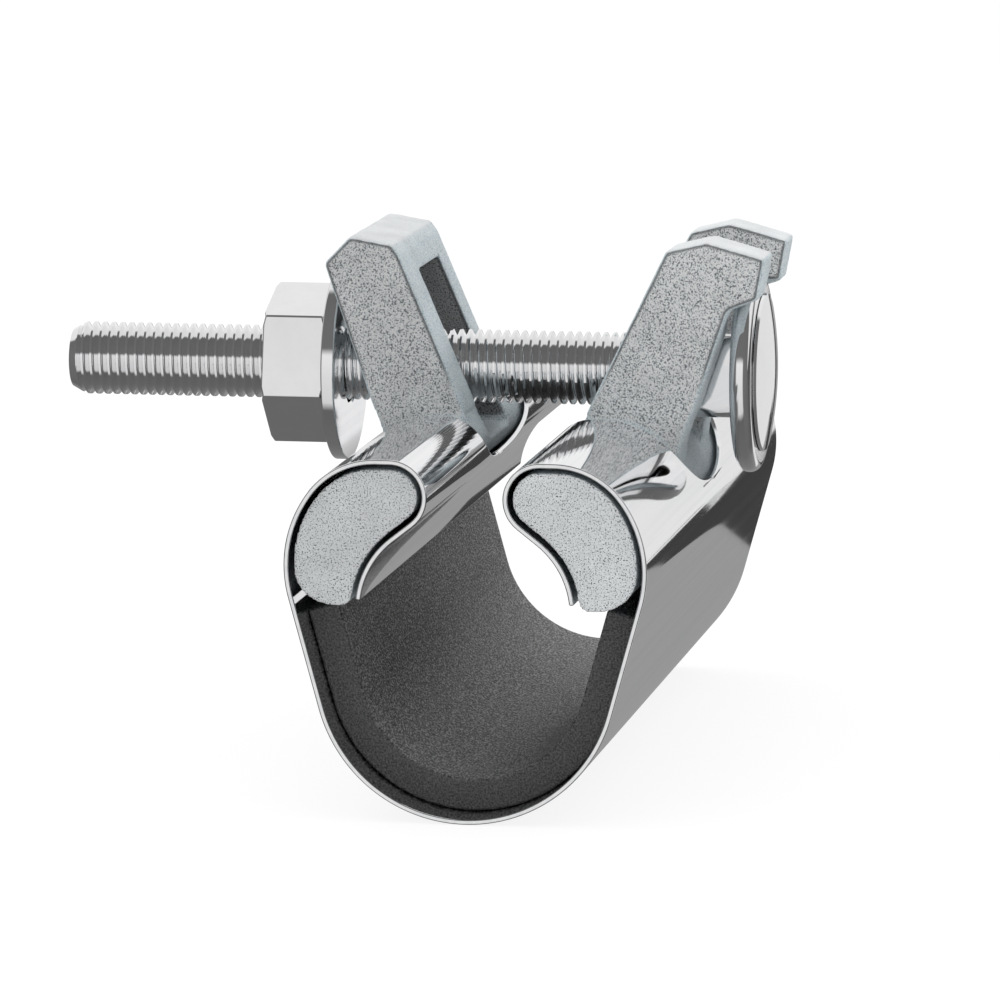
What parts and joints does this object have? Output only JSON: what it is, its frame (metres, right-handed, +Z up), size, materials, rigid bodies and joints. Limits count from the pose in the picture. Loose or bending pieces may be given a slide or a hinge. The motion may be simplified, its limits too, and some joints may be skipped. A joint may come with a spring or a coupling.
{
  "type": "pipe repair clamp",
  "caption": "Pipe repair clamp: a rolled sheet band with a rubber gasket, closed round a pipe by two cast lugs and a bolt with nut and washers.",
  "frame": {"origin": "centre of the gasket's round seat at mid-length, where the pipe's axis lies when the pipe rests in the seat", "axes": "+X along the bolt from its nut end towards its head, +Y along the pipe, +Z up from the seat towards the bolt"},
  "size_m": [0.1177, 0.152, 0.0854],
  "materials": {
    "stainless_band": "mirror polished stainless sheet",
    "rubber": "matt, fine grained",
    "cast_zinc": "zinc plated sand casting",
    "bright_steel": "polished steel"
  },
  "bodies": {
    "clamp_band": {"band": "stainless_band", "gasket": "rubber", "nut_side_lug": "cast_zinc", "hook_side_lug": "cast_zinc"},
    "bolt": {"bolt": "bright_steel"},
    "head_washer": {"head_washer": "bright_steel"},
    "nut_washer": {"nut_washer": "bright_steel"},
    "nut": {"nut": "bright_steel"}
  },
  "joints": [
    {"name": "bolt_tilt", "type": "hinge", "parent": "clamp_band", "child": "bolt", "pos_m": [0.0328, 0, 0.0382], "axis": [0, 1, 0], "range_deg": [-3, 0]},
    {"name": "head_washer_spin", "type": "hinge", "parent": "bolt", "child": "head_washer", "pos_m": [0.0345, 0, 0.0382], "axis": [1, 0, 0], "continuous": true},
    {"name": "nut_travel", "type": "slide", "parent": "bolt", "child": "nut_washer", "axis": [1, 0, 0], "range_m": [-0.03, 0]},
    {"name": "nut_turn", "type": "hinge", "parent": "nut_washer", "child": "nut", "pos_m": [-0.0397, 0, 0.0382], "axis": [1, 0, 0], "range_deg": [-7200, 0]}
  ],
  "couplings": [
    {"joint": "nut_travel", "follows": "nut_turn", "m_per_rad": 0.00023873}
  ]
}
